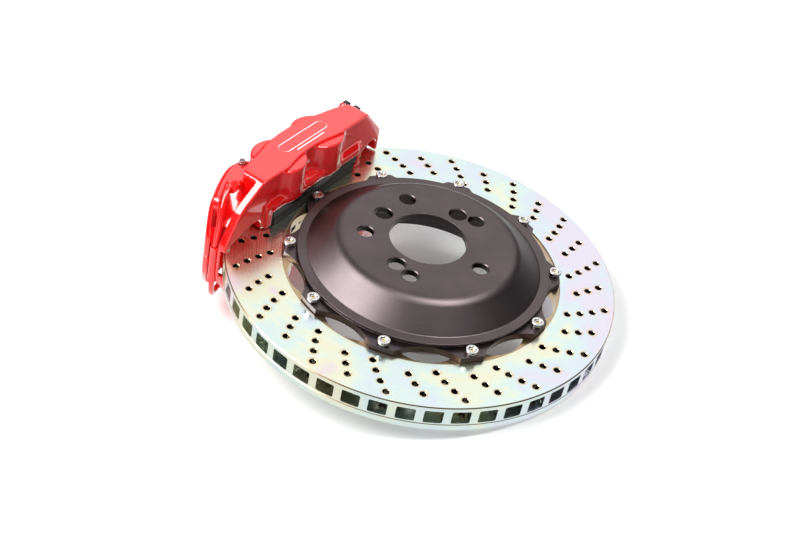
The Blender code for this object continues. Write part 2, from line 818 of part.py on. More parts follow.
def build():
    clear_scene()
    shop = Workshop(collection())
    root = empty("rest_attitude", None)
    axis = empty("disc_axis", root)
    body = empty("caliper_body", root)
    wheel_slide = empty("pad_slide_wheel_side", body)
    hub_slide = empty("pad_slide_hub_side", body)
    slides = {}
    for side in ("wheel", "hub"):
        for i, s in enumerate((-BOSS_S, BOSS_S)):
            name = f"{side}_side_{i + 1}"
            slides[name] = empty("piston_slide_" + name, body, at(s, BOSS_RHO, 0))
    disc_ring(shop, axis)
    hat(shop, axis)
    hat_bolts(shop, axis)
    hat_nuts(shop, axis)
    caliper_halves(shop, body)
    bridge_bolts(shop, body)
    pad_pins(shop, body)
    pads(shop, wheel_slide, hub_slide)
    pistons(shop, body, slides)
    transfer_pipe(shop, body)
    pipe_sleeve(shop, body)
    pipe_nuts(shop, body)
    bleeders(shop, body)
    pad_spring(shop, body)
    settle(root)


build()
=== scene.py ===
"""Looks for the brake caliper and disc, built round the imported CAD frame.

Shapes are drawn in the disc's own frame, in millimetres: +Z is the disc axis, z = 0 is the
wheel-side friction face and the caliper lies towards -X. A caliper point is (s, rho, z): s runs
along the body, rho outwards from the disc axis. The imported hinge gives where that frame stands.
"""

import json
import math

import bmesh
import bpy
import numpy as np
import openvdb
from mathutils import Matrix, Vector


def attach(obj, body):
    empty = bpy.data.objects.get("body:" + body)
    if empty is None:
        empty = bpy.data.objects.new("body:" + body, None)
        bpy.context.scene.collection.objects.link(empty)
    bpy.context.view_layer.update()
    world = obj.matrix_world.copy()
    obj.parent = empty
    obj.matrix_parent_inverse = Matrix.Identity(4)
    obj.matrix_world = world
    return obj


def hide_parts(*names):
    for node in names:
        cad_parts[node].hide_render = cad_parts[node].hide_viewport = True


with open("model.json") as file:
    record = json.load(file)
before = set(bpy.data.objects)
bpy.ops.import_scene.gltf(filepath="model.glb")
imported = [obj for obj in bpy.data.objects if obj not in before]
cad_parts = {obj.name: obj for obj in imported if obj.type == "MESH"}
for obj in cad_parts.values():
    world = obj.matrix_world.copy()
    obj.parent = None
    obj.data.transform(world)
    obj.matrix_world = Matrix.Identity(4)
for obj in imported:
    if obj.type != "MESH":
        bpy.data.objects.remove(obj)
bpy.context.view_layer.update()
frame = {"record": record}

MM = 0.001
record = frame["record"]
joints = {joint["name"]: joint for joint in record["behaviour"]["joints"]}
bodies = record["behaviour"]["bodies"]
body_of_node = {node: body for body, nodes in bodies.items() for node in nodes}


def disc_frame():
    """The matrix from the disc's own frame, in metres, to the world."""
    spin = joints["disc_spin"]
    z = Vector(spin["axis"]).normalized()
    x = Vector((0, 1, 0)).cross(z).normalized()
    y = z.cross(x)
    turn = Matrix((x, y, z)).transposed().to_4x4()
    return Matrix.Translation(Vector(spin["pos_m"])) @ turn


PLACE = disc_frame()
SCALE = Matrix.Scale(MM, 4)


# ---- mesh helpers


def at(s, rho, z=0.0):
    """The disc-frame point of a caliper point."""
    return Vector((-rho, -s, z))


def turned(radius, degrees, z=0.0):
    """The disc-frame point at a radius and an angle round the disc axis."""
    angle = math.radians(degrees)
    return Vector((radius * math.cos(angle), radius * math.sin(angle), z))


def around(radius, count, first=0.0):
    """Plan points spaced evenly round the disc axis, from an angle in degrees."""
    return [turned(radius, first + 360 / count * i)[:2] for i in range(count)]


def mesh_of(graph):
    """The finished mesh of a bmesh, with its faces turned outwards."""
    bmesh.ops.recalc_face_normals(graph, faces=graph.faces)
    mesh = bpy.data.meshes.new("shape")
    graph.to_mesh(mesh)
    graph.free()
    return mesh


def lathe(profile, steps):
    """A closed solid of revolution from a closed (radius, z) profile."""
    graph = bmesh.new()
    rings = []
    for i in range(steps):
        angle = 2 * math.pi * i / steps
        c, s = math.cos(angle), math.sin(angle)
        rings.append([graph.verts.new((r * c, r * s, z)) for r, z in profile])
    count = len(profile)
    for i in range(steps):
        a, b = rings[i], rings[(i + 1) % steps]
        for j in range(count):
            k = (j + 1) % count
            graph.faces.new((a[j], b[j], b[k], a[k]))
    bmesh.ops.remove_doubles(graph, verts=graph.verts, dist=1e-5)
    bmesh.ops.dissolve_degenerate(graph, edges=graph.edges, dist=1e-6)
    return mesh_of(graph)


def prisms(outlines, low, high):
    """Upright solids from plan outlines, between two heights."""
    graph = bmesh.new()
    for outline in outlines:
        base = graph.faces.new([graph.verts.new((p[0], p[1], low)) for p in outline])
        grown = bmesh.ops.extrude_face_region(graph, geom=[base])["geom"]
        moved = [item for item in grown if isinstance(item, bmesh.types.BMVert)]
        bmesh.ops.translate(graph, verts=moved, vec=Vector((0, 0, high - low)))
    return mesh_of(graph)


def ring_points(radius, count, centre=(0.0, 0.0), phase=0.0):
    """Plan points of a regular polygon, its first corner at phase degrees."""
    return [
        (
            centre[0] + radius * math.cos(math.radians(phase + 360 * i / count)),
            centre[1] + radius * math.sin(math.radians(phase + 360 * i / count)),
        )
        for i in range(count)
    ]


def cylinders(radius, low, high, count, centres, phase=0.0):
    return prisms([ring_points(radius, count, c, phase) for c in centres], low, high)


def countersunk(radius, wide, top, bottom, count, centres):
    """Drill tools that flare at 45 degrees to the wide radius at both faces of a plate."""
    graph = bmesh.new()
    depth = wide - radius
    levels = (
        (wide + 2, top + 2), (wide, top), (radius, top - depth),
        (radius, bottom + depth), (wide, bottom), (wide + 2, bottom - 2),
    )
    for centre in centres:
        rings = []
        for r, z in levels:
            rings.append([graph.verts.new((x, y, z)) for x, y in ring_points(r, count, centre)])
        for a, b in zip(rings, rings[1:]):
            for i in range(count):
                j = (i + 1) % count
                graph.faces.new((a[i], a[j], b[j], b[i]))
        graph.faces.new(rings[0])
        graph.faces.new(rings[-1][::-1])
    return mesh_of(graph)


def linked(name, data):
    """A new object in the scene."""
    made = bpy.data.objects.new(name, data)
    bpy.context.scene.collection.objects.link(made)
    return made


def baked(maker):
    """The mesh of an object after its modifiers; the object itself is removed."""
    bpy.context.view_layer.update()
    seen = maker.evaluated_get(bpy.context.evaluated_depsgraph_get())
    mesh = bpy.data.meshes.new_from_object(seen)
    bpy.data.objects.remove(maker)
    return mesh


def boolean(mesh, operation, *others):
    maker = linked("shape", mesh)
    tools = [linked("tool", other) for other in others]
    for tool in tools:
        step = maker.modifiers.new("step", "BOOLEAN")
        step.solver = "MANIFOLD"
        step.operation = operation
        step.object = tool
    result = baked(maker)
    for tool in tools:
        bpy.data.objects.remove(tool)
    return result


def cut(mesh, *tools):
    return boolean(mesh, "DIFFERENCE", *tools)


def joined(mesh, *others):
    return boolean(mesh, "UNION", *others)


def shared(mesh, *others):
    return boolean(mesh, "INTERSECT", *others)


def smooth_path(points, pieces):
    """A Catmull-Rom curve through the points."""
    points = [Vector(p) for p in points]
    ends = [2 * points[0] - points[1], *points, 2 * points[-1] - points[-2]]
    path = []
    for a, b, c, d in zip(ends, ends[1:], ends[2:], ends[3:]):
        for i in range(pieces):
            t = i / pieces
            path.append(
                0.5 * (2 * b + (c - a) * t + (2 * a - 5 * b + 4 * c - d) * t * t
                       + (3 * b - 3 * c + d - a) * t ** 3)
            )
    return [*path, points[-1]]


def rounded(corners, steps):
    """A profile whose corners (r, z, fillet) are rounded by their own fillet radius."""
    out = []
    count = len(corners)
    for i, (r, z, fillet) in enumerate(corners):
        here = Vector((r, z))
        if fillet <= 0:
            out.append((r, z))
            continue
        before = Vector(corners[i - 1][:2]) - here
        after = Vector(corners[(i + 1) % count][:2]) - here
        half = before.angle(after) / 2
        reach = min(fillet / math.tan(half), before.length * 0.49, after.length * 0.49)
        start = here + before.normalized() * reach
        end = here + after.normalized() * reach
        for k in range(steps + 1):
            t = k / steps
            point = start * (1 - t) ** 2 + here * 2 * t * (1 - t) + end * t * t
            out.append((point.x, point.y))
    return out


def spun(sides, steps, *corners):
    """A lathed solid from rounded (r, z, fillet) corners."""
    return lathe(rounded(corners, steps), sides)


def face_weighted(mesh):
    """The mesh with its normals led by the large faces, so that flat ones shade flat."""
    maker = linked("shape", mesh)
    step = maker.modifiers.new("normals", "WEIGHTED_NORMAL")
    step.keep_sharp = True
    step.weight = 100
    return baked(maker)


def show(name, mesh, paint, body, replaced, smooth=32, where=None, weigh=True):
    """Places a mesh drawn in disc-frame millimetres and lets it ride its body."""
    mesh.transform(PLACE @ SCALE @ (where or Matrix()))
    mesh.name = name
    mesh.materials.clear()
    mesh.materials.append(paint)
    mesh.shade_smooth()
    mesh.set_sharp_from_angle(angle=math.radians(smooth))
    if weigh:
        mesh = face_weighted(mesh)
        mesh.name = name
    made = linked(name, mesh)
    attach(made, body)
    if replaced:
        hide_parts(*replaced)
    return made


# ---- material helpers


class Sum:
    """A value in a node tree that Python arithmetic turns into Math nodes."""

    def __init__(self, tree, socket):
        self.tree = tree
        self.socket = socket

    def math(self, operation, *others):
        node = self.tree.nodes.new("ShaderNodeMath")
        node.operation = operation
        for slot, value in zip(node.inputs, (self, *others)):
            if isinstance(value, Sum):
                self.tree.links.new(value.socket, slot)
            else:
                slot.default_value = value
        return Sum(self.tree, node.outputs[0])

    def __add__(self, other):
        return self.math("ADD", other)

    def __sub__(self, other):
        return self.math("SUBTRACT", other)

    def __mul__(self, other):
        return self.math("MULTIPLY", other)

    def __truediv__(self, other):
        return self.math("DIVIDE", other)

    def ramp(self, low, high, to_low=0.0, to_high=1.0):
        """Smooth step from to_low at low to to_high at high."""
        node = self.tree.nodes.new("ShaderNodeMapRange")
        node.interpolation_type = "SMOOTHSTEP"
        self.tree.links.new(self.socket, node.inputs["Value"])
        node.inputs["From Min"].default_value = low
        node.inputs["From Max"].default_value = high
        node.inputs["To Min"].default_value = to_low
        node.inputs["To Max"].default_value = to_high
        return Sum(self.tree, node.outputs["Result"])


class Paint:
    """A Principled material with helpers for procedural detail."""

    def __init__(self, name, metallic=0.0, roughness=0.4, **constants):
        self.material = bpy.data.materials.new(name)
        self.material.use_nodes = True
        self.tree = self.material.node_tree
        self.shader = self.tree.nodes["Principled BSDF"]
        self.shader.inputs["Metallic"].default_value = metallic
        self.shader.inputs["Roughness"].default_value = roughness
        for key, value in constants.items():
            self.shader.inputs[key.replace("_", " ")].default_value = value
        local = self.tree.nodes.new("ShaderNodeTexCoord")
        self.coordinates = self.tree.nodes.new("ShaderNodeMapping")
        back = PLACE.inverted()
        self.coordinates.inputs["Location"].default_value = back.translation
        self.coordinates.inputs["Rotation"].default_value = back.to_euler()
        self.tree.links.new(local.outputs["Object"], self.coordinates.inputs["Vector"])

    def node(self, kind, **settings):
        made = self.tree.nodes.new(kind)
        for key, value in settings.items():
            setattr(made, key, value)
        return made

    def place(self):
        """x, y and z in millimetres of the disc's own frame."""
        split = self.node("ShaderNodeSeparateXYZ")
        self.tree.links.new(self.coordinates.outputs[0], split.inputs[0])
        return [Sum(self.tree, out) * 1000.0 for out in split.outputs]

    def noise(self, scale, detail, roughness):
        """Noise over the piece, with scale in features a metre."""
        made = self.node("ShaderNodeTexNoise")
        made.inputs["Scale"].default_value = scale
        made.inputs["Detail"].default_value = detail
        made.inputs["Roughness"].default_value = roughness
        self.tree.links.new(self.coordinates.outputs[0], made.inputs["Vector"])
        return Sum(self.tree, made.outputs["Fac"])

    def noise_along(self, value, scale, detail):
        """Noise that changes with one value only, such as the distance from the axis."""
        made = self.node("ShaderNodeTexNoise", noise_dimensions="1D")
        made.inputs["Scale"].default_value = scale
        made.inputs["Detail"].default_value = detail
        self.tree.links.new(value.socket, made.inputs["W"])
        return Sum(self.tree, made.outputs["Fac"])

    def colours(self, value, *stops):
        """A colour that follows value through (position, colour) stops."""
        ramp = self.node("ShaderNodeValToRGB")
        band = ramp.color_ramp
        band.interpolation = "EASE"
        while len(band.elements) < len(stops):
            band.elements.new(0.5)
        for element, (position, colour) in zip(band.elements, stops):
            element.position = position
            element.color = (*colour, 1)
        self.tree.links.new(value.socket, ramp.inputs[0])
        return ramp.outputs["Color"]

    def mix(self, amount, first, second):
        """Colour between first and second; each is a colour or a socket."""
        made = self.node("ShaderNodeMix", data_type="RGBA")
        self.tree.links.new(amount.socket, made.inputs[0])
        for slot, value in ((made.inputs[6], first), (made.inputs[7], second)):
            if isinstance(value, tuple):
                slot.default_value = (*value, 1)
            else:
                self.tree.links.new(value, slot)
        return made.outputs[2]

    def colour(self, source):
        self.tree.links.new(source, self.shader.inputs["Base Color"])

    def rough(self, value):
        self.tree.links.new(value.socket, self.shader.inputs["Roughness"])

    def bump(self, height, strength, distance, coat=False):
        made = self.node("ShaderNodeBump")
        made.inputs["Strength"].default_value = strength
        made.inputs["Distance"].default_value = distance
        self.tree.links.new(height.socket, made.inputs["Height"])
        self.tree.links.new(made.outputs[0], self.shader.inputs["Normal"])
        if coat:
            self.tree.links.new(made.outputs[0], self.shader.inputs["Coat Normal"])

    def turned_grain(self, amount):
        """Sheen that runs round the disc axis."""
        tangent = self.node("ShaderNodeTangent", direction_type="RADIAL", axis="Z")
        self.shader.inputs["Anisotropic"].default_value = amount
        self.tree.links.new(tangent.outputs[0], self.shader.inputs["Tangent"])


# ---- dimensions

DISC_RADIUS = 190.0
DISC_THICK = 28.0
MIDDLE = -DISC_THICK / 2
FACE_INNER = 135.2
TURN_STEPS = 288

# Vents: plate thicknesses, and (radius, lean in degrees, width factor) along a channel
WHEEL_PLATE = 4.5
HUB_PLATE = 9.3
VANES = 48
VENT_HALF = 2.6
VENT_STATIONS = (
    (197, 0.0, 1.0), (180, 1.0, 1.0), (163, 3.15, 1.0), (148, 5.1, 0.94), (130, 7.0, 0.88),
)
RIM_GROOVE = -20.6

# Drilled rows: (holes, first radius, first angle), repeated round the disc
DRILL_PERIODS = 16
DRILL_ROWS = ((4, 146.8, 16.75), (3, 152.4, 7.2))
DRILL_STEP = 11.1
DRILL_TWIST = 2.45
DRILL_RADIUS = 3.0

# The ring's ears, and the scallops (circle, radius) cut in them and in the hat's flange
BOLTS = 10
BOLT_CIRCLE = 129.5
BOLT_HOLE = 3.3
EAR_TOP, EAR_LOW = -1.0, -9.0
EAR_SCALLOP = (100, 34)
FLANGE_SCALLOP = (172.7, 51.7)

# Hat
HAT_TOP = 33.2
HAT_UNDER = 26.2
HUB_BORE = 37.5
DRUM_INNER, DRUM_OUTER, DRUM_END = 92.5, 98.5, -25.0
FLANGE_TOP, FLANGE_LOW = 6.0, -0.7
WHEEL_BOLTS = 5
WHEEL_CIRCLE = 60.0
SPARE_CIRCLE = 52.5
HEX_CROWN = 0.6


# ---- materials


def zinc():
    """Clear zinc plating: pastel iridescence, golden at the holes and edges, finely turned, with
    painted shade in the drilled holes and the vents.
    """
    paint = Paint("zinc_plate", metallic=1.0, roughness=0.26)
    x, y, z = paint.place()
    radius = (x * x + y * y).math("SQRT")
    angle = y.math("ARCTAN2", x) * (180 / math.pi)
    broad = paint.noise(11.0, 2.0, 0.45)
    fine = paint.noise(42.0, 3.0, 0.55)
    side = (x * 0.8 + y * 0.6) / 1500.0
    tone = broad * 0.75 + fine * 0.25 + paint.noise_along(radius, 0.05, 2.0) * 0.18 - side
    base = paint.colours(
        tone,
        (0.40, (0.90, 0.84, 0.96)),
        (0.48, (0.82, 0.90, 0.98)),
        (0.56, (0.82, 0.97, 0.93)),
        (0.63, (0.93, 0.99, 0.82)),
        (0.70, (0.96, 0.97, 0.74)),
        (0.80, (0.96, 0.84, 0.86)),
    )
    near = None
    for count, first, start in DRILL_ROWS:
        row = ((radius - first) / DRILL_STEP).math("ROUND").math("MAXIMUM", 0.0)
        row = row.math("MINIMUM", count - 1.0)
        turn = angle - row * DRILL_TWIST - start + 720 + 180 / DRILL_PERIODS
        turn = turn.math("MODULO", 360 / DRILL_PERIODS) - 180 / DRILL_PERIODS
        along = turn * (math.pi / 180) * radius
        out = radius - first - row * DRILL_STEP
        away = (out * out + along * along).math("SQRT")
        near = away if near is None else near.math("MINIMUM", away)
    wobble = (fine - 0.5) * 4.0
    gold = (near + wobble).ramp(3.2, 6.2, 1.0, 0.0)
    base = paint.mix(gold * 0.6, base, (0.95, 0.70, 0.38))
    # Painted shade: the walls of the drilled holes are coloured near black, standing in for the
    # shade deep inside them.
    base = paint.mix(near.ramp(3.05, 3.2, 1.0, 0.0), base, (0.05, 0.04, 0.03))
    outer = radius.ramp(188.9, 189.3)
    rim = outer * (z.ramp(-1.1, -0.7) + z.ramp(-27.3, -26.9, 1.0, 0.0))
    groove = outer * z.ramp(-21.3, -21.0) * z.ramp(-20.2, -19.9, 1.0, 0.0)
    edge = rim + groove + radius.ramp(135.4, 136.4, 1.0, 0.0)
    base = paint.mix(edge.math("MINIMUM", 1.0) * 0.8, base, (0.50, 0.32, 0.14))
    # Painted shade: the surfaces between the plates, inside the vents, are mixed towards a darker
    # grey-brown where shade falls in the channels.
    between = z.ramp(-5.2, -4.4, 1.0, 0.0) * z.ramp(-19.4, -18.6)
    inside = between * radius.ramp(188.6, 189.4, 1.0, 0.0)
    base = paint.mix(inside * 0.25, base, (0.50, 0.46, 0.36))
    paint.colour(base)
    grain = paint.noise_along(radius, 4.0, 3.0)
    paint.rough(grain.ramp(0.3, 0.7, 0.20, 0.30))
    paint.bump(grain, 0.05, 0.00005)
    paint.turned_grain(0.2)
    return paint.material


def anodised():
    """Dark brown-grey satin anodising over turned aluminium, with painted shade: near black in
    the holes, under the top plate and inside the drum.
    """
    paint = Paint("dark_anodised", metallic=1.0, roughness=0.36)
    x, y, z = paint.place()
    radius = (x * x + y * y).math("SQRT")
    cloud = paint.noise(30.0, 3.0, 0.5)
    base = paint.colours(cloud, (0.3, (0.125, 0.102, 0.106)), (0.7, (0.150, 0.121, 0.126)))
    # Painted shade: the hole walls and the underside of the top plate (inside r 78, below z 32)
    # and the inside of the drum are mixed towards near black, where shade falls.
    holes = radius.ramp(78, 80, 1.0, 0.0) * z.ramp(32.0, 32.6, 1.0, 0.0)
    drum = radius.ramp(94, 96, 1.0, 0.0) * z.ramp(23.5, 25.0, 1.0, 0.0)
    base = paint.mix(holes.math("MAXIMUM", drum) * 0.85, base, (0.012, 0.010, 0.010))
    paint.colour(base)
    grain = paint.noise_along(radius + z, 5.0, 3.0)
    paint.rough(grain.ramp(0.3, 0.7, 0.33, 0.41))
    paint.bump(grain, 0.08, 0.00006)
    paint.turned_grain(0.45)
    return paint.material


def red_enamel():
    """Glossy red enamel over a casting: faint orange peel under a clear coat."""
    paint = Paint(
        "red_enamel", roughness=0.22, Coat_Weight=1.0, Coat_Roughness=0.045, Coat_IOR=1.75,
    )
    cloud = paint.noise(60.0, 3.0, 0.5)
    deep, light = (0.88, 0.0035, 0.004), (0.96, 0.005, 0.006)
    paint.colour(paint.colours(cloud, (0.35, deep), (0.65, light)))
    peel = paint.noise(420.0, 2.0, 0.5) * 0.7 + paint.noise(1400.0, 2.0, 0.5) * 0.3
    paint.bump(peel, 0.10, 0.00006, coat=True)
    return paint.material


def steel(name, colour, low, high):
    """Plated steel with fine handling marks."""
    paint = Paint(name, metallic=1.0)
    scuff = paint.noise(300.0, 4.0, 0.6)
    darker = tuple(c * 0.86 for c in colour)
    paint.colour(paint.colours(scuff, (0.3, darker), (0.7, colour)))
    paint.rough(scuff.ramp(0.3, 0.7, low, high))
    paint.bump(paint.noise(900.0, 3.0, 0.6), 0.08, 0.00005)
    return paint.material


def coated(name, dark, light, rough_low, rough_high, grain):
    """Black coating, rubber or friction material with a fine grain."""
    paint = Paint(name)
    speck = paint.noise(grain, 4.0, 0.65)
    paint.colour(paint.colours(speck, (0.35, dark), (0.65, light)))
    paint.rough(speck.ramp(0.3, 0.7, rough_low, rough_high))
    paint.bump(speck, 0.25, 0.0001)
    return paint.material


ZINC = zinc()
DARK = anodised()
RED = red_enamel()
BRIGHT = steel("bright_steel", (0.86, 0.84, 0.82), 0.16, 0.28)
GOLD = steel("gold_plate", (0.86, 0.66, 0.28), 0.22, 0.34)
BLACK_STEEL = steel("black_steel", (0.075, 0.072, 0.070), 0.30, 0.45)
WHITE = coated("white_print", (0.80, 0.80, 0.80), (0.88, 0.88, 0.88), 0.30, 0.42, 900.0)
GREY = steel("grey_steel", (0.42, 0.41, 0.40), 0.28, 0.42)
PAD_BLACK = coated(
    "pad_coating", (0.010, 0.010, 0.011), (0.020, 0.020, 0.021), 0.36, 0.50, 700.0
)
LINING = coated(
    "friction_material", (0.012, 0.011, 0.010), (0.055, 0.050, 0.046), 0.75, 0.95, 1500.0
)
RUBBER = coated("black_rubber", (0.016, 0.016, 0.017), (0.030, 0.030, 0.031), 0.45, 0.62, 500.0)


# ---- disc


def drill_centres():
    """Plan points of all the drilled holes."""
    centres = []
    for period in range(DRILL_PERIODS):
        for count, radius, degrees in DRILL_ROWS:
            start = degrees + 360 / DRILL_PERIODS * period
            for i in range(count):
                centres.append(turned(radius + DRILL_STEP * i, start + DRILL_TWIST * i)[:2])
    return centres


def vent_tool():
    """Leaning channels between the vanes, with rounded long edges."""
    graph = bmesh.new()
    for i in range(VANES):
        start = 360 / VANES * i
        left = [turned(r, start + lean - VENT_HALF * w) for r, lean, w in VENT_STATIONS]
        right = [turned(r, start + lean + VENT_HALF * w) for r, lean, w in VENT_STATIONS[::-1]]
        top = [graph.verts.new((*p[:2], -WHEEL_PLATE)) for p in left + right]
        low = [graph.verts.new((*p[:2], HUB_PLATE - DISC_THICK)) for p in left + right]
        graph.faces.new(top)
        graph.faces.new(low[::-1])
        for a in range(len(top)):
            b = (a + 1) % len(top)
            graph.faces.new((top[a], low[a], low[b], top[b]))
    bmesh.ops.recalc_face_normals(graph, faces=graph.faces)
    long_edges = [
        edge for edge in graph.edges
        if abs(edge.verts[0].co.z - edge.verts[1].co.z) < 0.1
        and abs(edge.verts[0].co.xy.length - edge.verts[1].co.xy.length) > 3
    ]
    bmesh.ops.bevel(graph, geom=long_edges, offset=1.6, segments=3, affect="EDGES", profile=0.5)
    return mesh_of(graph)


def disc_ring():
    """The plated friction ring, with the ten ears that the hat is bolted to."""
    low = -DISC_THICK
    groove = RIM_GROOVE
    ring = spun(
        TURN_STEPS, 2,
        (FACE_INNER, 0, 0.5), (FACE_INNER, low, 0.5),
        (DISC_RADIUS - 0.9, low, 0), (DISC_RADIUS, low + 0.9, 0),
        (DISC_RADIUS, groove - 0.5, 0), (DISC_RADIUS - 0.7, groove, 0),
        (DISC_RADIUS, groove + 0.5, 0), (DISC_RADIUS, -0.8, 0), (DISC_RADIUS - 0.8, 0, 0),
    )
    ring = cut(ring, vent_tool())
    ring = cut(ring, countersunk(DRILL_RADIUS, DRILL_RADIUS + 0.5, 0, low, 24, drill_centres()))
    outer = FACE_INNER + 1
    band = spun(
        TURN_STEPS, 2,
        (122, EAR_TOP, 0.4), (122, EAR_LOW, 0.4), (outer, EAR_LOW, 0), (outer, EAR_TOP, 0),
    )
    circle, radius = EAR_SCALLOP
    spots = around(circle, BOLTS, 180 / BOLTS)
    band = cut(
        band,
        cylinders(radius, -12, 2, 96, spots[::2], 1.1),
        cylinders(radius, -12, 2, 96, spots[1::2], 1.7),
        cylinders(BOLT_HOLE, -12, 2, 24, around(BOLT_CIRCLE, BOLTS), 7),
    )
    show("brake_disc_ring", joined(ring, band), ZINC, "disc", ["disc_ring"], 28)


def hat():
    """The dark hat: top plate, cone, scalloped flange and the drum inside."""
    blank = spun(
        TURN_STEPS, 6,
        (HUB_BORE, HAT_TOP, 0.6), (HUB_BORE, HAT_UNDER, 0.5), (79.0, HAT_UNDER, 2.5),
        (DRUM_INNER, 16.0, 3.0), (DRUM_INNER, DRUM_END, 0.6),
        (DRUM_OUTER, DRUM_END, 0.6), (DRUM_OUTER, 4.0, 1.5), (105.0, FLANGE_LOW, 1.0),
        (134.5, FLANGE_LOW, 0.4), (134.5, FLANGE_TOP, 0.5),
        (119.8, FLANGE_TOP, 1.0), (120.6, 10.0, 0.5), (122.7, 10.4, 0.4), (122.3, 11.5, 0.5),
        (113.4, 11.5, 2.4), (85.7, HAT_TOP, 22.0),
    )
    circle, radius = FLANGE_SCALLOP
    bolts = around(BOLT_CIRCLE, BOLTS)
    lugs = around(WHEEL_CIRCLE, WHEEL_BOLTS)
    spares = around(SPARE_CIRCLE, 4)[1:]
    shape = cut(
        blank,
        cylinders(radius, -3, 7.4, 128, around(circle, BOLTS, 180 / BOLTS), 2),
        countersunk(BOLT_HOLE, BOLT_HOLE + 0.5, FLANGE_TOP, FLANGE_LOW, 24, bolts),
        countersunk(7.75, 8.6, HAT_TOP, HAT_UNDER, 48, lugs),
        countersunk(8.65, 9.4, HAT_TOP, HAT_UNDER, 48, spares),
    )
    show("disc_hat", shape, DARK, "disc", ["hat"], 28)


def hexagon(across, low, high, phase=0.0):
    """A hexagon prism whose corners are turned off to a cone at both ends."""
    radius = across / math.sqrt(3)
    body = prisms([ring_points(radius, 6, phase=phase)], low, high)
    inner = across / 2 + 0.1 - HEX_CROWN * 0.2
    outer = radius + 0.4
    cone = lathe(
        (
            (0, low - 0.01), (inner, low - 0.01), (outer, low + HEX_CROWN),
            (outer, high - HEX_CROWN), (inner, high + 0.01), (0, high + 0.01),
        ),
        48,
    )
    return shared(body, cone)


def hat_bolt():
    """A drive bolt with a dished flange head and a hexagon socket."""
    shape = spun(
        40, 3,
        (0, 10.6, 0), (2.6, 10.6, 0), (3.6, 11.5, 0.5), (5.9, 11.5, 0.7), (6.0, 9.2, 0.4),
        (4.2, 9.2, 0.2), (4.2, 6.3, 0.2), (3.0, 6.3, 0), (3.0, -16.7, 0), (2.5, -17.2, 0),
        (0, -17.2, 0),
    )
    return cut(shape, prisms([ring_points(1.9, 6)], 9.0, 13.0))


def fasteners():
    """The drive bolts, the gold dot in each socket, and their nuts."""
    for i in range(BOLTS):
        angle = 360 / BOLTS * i
        turn = Matrix.Rotation(math.radians(angle + 11), 4, "Z")
        place = Matrix.Translation(turned(BOLT_CIRCLE, angle)) @ turn
        number = f"{i + 1:02d}"
        node = f"hat_bolt_{number}"
        show(f"drive_bolt_{number}", hat_bolt(), BRIGHT, "disc", [node], where=place)
        dot = lathe(((0, 9.9), (0, 9.1), (1.75, 9.1), (1.75, 9.8), (1.2, 9.9)), 24)
        show(f"drive_bolt_dot_{number}", dot, GOLD, "disc", (), where=place)
        node = f"hat_nut_{number}"
        nut = cut(hexagon(9.3, -15.8, -9.3), cylinders(BOLT_HOLE, -18, -8, 24, [(0, 0)]))
        show(f"drive_nut_{number}", nut, BRIGHT, "disc", [node], where=place)


# ---- caliper halves


def round_union(a, b, r):
    """Union with a fillet of radius r."""
    u = np.maximum(r - a, 0)
    v = np.maximum(r - b, 0)
    return np.maximum(r, np.minimum(a, b)) - np.sqrt(u * u + v * v)


def round_common(a, b, r):
    """Intersection whose edge is rounded to radius r."""
    u = np.maximum(r + a, 0)
    v = np.maximum(r + b, 0)
    return np.minimum(-r, np.maximum(a, b)) + np.sqrt(u * u + v * v)


def round_cut(a, b, r):
    """Difference whose edge is rounded to radius r."""
    return round_common(a, -b, r)


def convex(p, q, corners, r):
    """Signed distance to a convex outline in the p, q plane, its corners rounded to r."""
    area = 0.0
    for (a, b), (c, d) in zip(corners, corners[1:] + corners[:1]):
        area += a * d - b * c
    field = None
    for (a, b), (c, d) in zip(corners, corners[1:] + corners[:1]):
        length = math.hypot(c - a, d - b)
        side = ((p - a) * (d - b) - (q - b) * (c - a)) / length * (1 if area > 0 else -1)
        field = side if field is None else round_common(field, side, r)
    return field


def span(value, low, high):
    """Signed distance to the slab between low and high."""
    return np.maximum(low - value, value - high)


# The signed-distance grid of one half, on (s, rho, z)
VOXEL = 1.0
GRID_LOW = (-126.0, 112.0, -18.0)
GRID_SIZE = (260, 102, 84)
GRID_BAND = 3.0

# Outlines of the casting: (s, z), then (radius, z), then (s, rho) along the face's outer edge
CALIPER_TOP = 60.0
LEDGE = 40.0
SPLIT = MIDDLE + 0.15
BODY_PROFILE = (
    (-120, -30), (-120, 27), (-90, CALIPER_TOP), (75, CALIPER_TOP), (107, 40), (125, 12),
    (128, 2), (128, -30),
)
WALL_PROFILE = (
    (100, -30), (209, -30), (209, LEDGE - 8), (207.5, LEDGE - 3), (204, LEDGE), (100, LEDGE),
)
FACE_EDGE = (
    (-140, 150), (-93.5, 160), (-92, 163.5), (-86, 168), (-70, 173), (-45, 178), (-20, 182),
    (0, 182.6), (18, 181), (41, 176), (60, 172), (72, 169), (79, 166), (140, 150),
)
INNER_RHO = 141.0
INNER_RADIUS = 146.5

# The trimmed outside: an arc between two s, then points (s, rho) where it rises past the end
SADDLE_RADIUS = 190.0
SADDLE_S = (-58.0, 38.0)
SADDLE_RISE = ((42, 194.5), (55, 196.5), (66, 198.5), (70, 203), (70.5, 240))

# The window over the pads, the lip and end blocks by it, and the slot that the disc turns in
WINDOW = (-75.2, 62.4)
WINDOW_TOP = 19.0
LIP_PROFILE = ((135.5, 18.5), (135.5, 25.5), (139, 28.5), (148, 30), (160, 30), (160, 18.5))
BLOCK_PROFILE = ((137, 1.8), (137, 26), (142, 31), (156, 31), (156, 1.8))
SLOT_RADIUS = 193.5
SLOT_TOP = 1.8

